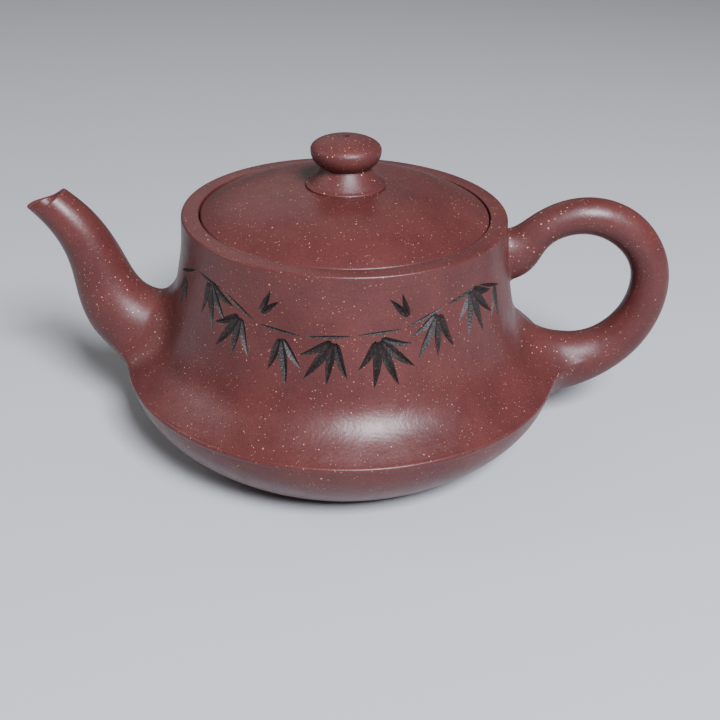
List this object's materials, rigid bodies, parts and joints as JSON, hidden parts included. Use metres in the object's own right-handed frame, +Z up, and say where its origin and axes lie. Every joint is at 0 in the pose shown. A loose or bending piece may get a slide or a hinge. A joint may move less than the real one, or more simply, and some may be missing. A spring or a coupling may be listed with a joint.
{
  "type": "clay teapot",
  "caption": "Unglazed purple-brown clay teapot with a concave flared wall over a creased bowl, ring handle, curved spout and a flush domed lid with a vented knob.",
  "frame": {"origin": "centre of the flat base, on the pot's axis", "axes": "+Z up along the pot's axis, +X towards the handle, -X towards the spout"},
  "size_m": [0.1696, 0.1174, 0.0815],
  "materials": {
    "body_clay": "unglazed purple-brown stoneware, burnished to a satin sheen, fine pale grains",
    "joint_clay": "the same stoneware, less burnished and coarser-grained where the spout and handle are luted on",
    "lid_clay": "unglazed purple-brown stoneware, burnished satin",
    "knob_clay": "unglazed purple-brown stoneware, burnished, with coarse pale grains",
    "inner_clay": "unglazed stoneware left matt from the scraper"
  },
  "bodies": {
    "pot": {"base_disc": "body_clay", "lower_bowl": "body_clay", "upper_wall": "body_clay", "mouth_ring": "body_clay", "lid_seat": "inner_clay", "spout": "body_clay", "spout_collar": "joint_clay", "spout_strainer": "inner_clay", "handle": "body_clay", "handle_foot_collar": "joint_clay"},
    "lid": {"lid_dome": "lid_clay", "lid_flange": "inner_clay", "knob_pedestal": "knob_clay", "knob": "knob_clay"}
  },
  "joints": [
    {"name": "lid_lift", "type": "slide", "parent": "pot", "child": "lid", "axis": [0, 0, 1], "range_m": [0, 0.06]}
  ]
}
